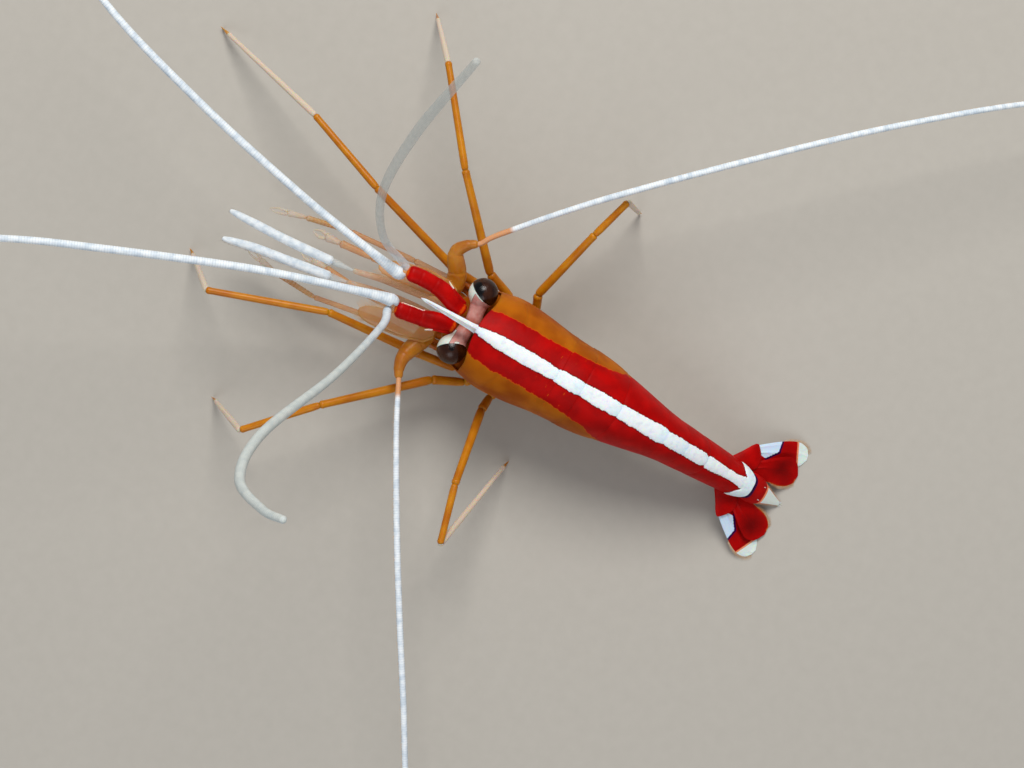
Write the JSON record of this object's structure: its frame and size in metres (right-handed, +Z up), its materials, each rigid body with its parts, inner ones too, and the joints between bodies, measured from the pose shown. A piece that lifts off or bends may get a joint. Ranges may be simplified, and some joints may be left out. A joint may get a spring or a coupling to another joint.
{
  "type": "cleaner shrimp",
  "caption": "Life-size still model of a cleaner shrimp standing on its walking legs, with long feelers, stalked eyes, segmented abdomen and tail fan",
  "frame": {"origin": "on the floor, under the middle of the whole animal's box, feelers included", "axes": "+Z up, the head looks along -Y and the tail lies towards +Y, +X is the animal's left"},
  "size_m": [0.1472, 0.1372, 0.0702],
  "materials": {
    "shell_red": "glossy translucent shell, deep red with a white stripe along the back",
    "shell_amber": "glossy translucent amber shell",
    "limb_amber": "glossy translucent amber skin of the limbs",
    "feeler_white": "white, slightly bluish, finely ringed feelers",
    "stalk_pink": "translucent mauve-pink eyestalk",
    "cornea_brown": "glossy dark brown eye"
  },
  "bodies": {
    "root": {"carapace": "shell_red", "thorax": "shell_amber", "head": "shell_amber", "telson": "shell_red", "abdomen_1": "shell_red", "abdomen_2": "shell_red", "abdomen_3": "shell_red", "abdomen_4": "shell_red", "abdomen_5": "shell_red", "abdomen_6": "shell_red", "uropod_outer_left": "shell_red", "uropod_inner_left": "shell_red", "eyestalk_left": "stalk_pink", "eye_left": "cornea_brown", "antennule_peduncle_left": "shell_red", "antennule_inner_left": "feeler_white", "antennule_outer_left": "feeler_white", "antenna_peduncle_left": "shell_amber", "antenna_left": "feeler_white", "antennal_scale_left": "shell_amber", "maxilliped_left": "limb_amber", "leg_1_left": "limb_amber", "leg_2_left": "limb_amber", "leg_3_left": "limb_amber", "leg_4_left": "limb_amber", "leg_5_left": "limb_amber", "pleopod_1_left": "limb_amber", "pleopod_2_left": "limb_amber", "pleopod_3_left": "limb_amber", "pleopod_4_left": "limb_amber", "pleopod_5_left": "limb_amber", "uropod_outer_right": "shell_red", "uropod_inner_right": "shell_red", "eyestalk_right": "stalk_pink", "eye_right": "cornea_brown", "antennule_peduncle_right": "shell_red", "antennule_inner_right": "feeler_white", "antennule_outer_right": "feeler_white", "antenna_peduncle_right": "shell_amber", "antenna_right": "feeler_white", "antennal_scale_right": "shell_amber", "maxilliped_right": "limb_amber", "leg_1_right": "limb_amber", "leg_2_right": "limb_amber", "leg_3_right": "limb_amber", "leg_4_right": "limb_amber", "leg_5_right": "limb_amber", "pleopod_1_right": "limb_amber", "pleopod_2_right": "limb_amber", "pleopod_3_right": "limb_amber", "pleopod_4_right": "limb_amber", "pleopod_5_right": "limb_amber"}
  },
  "joints": []
}
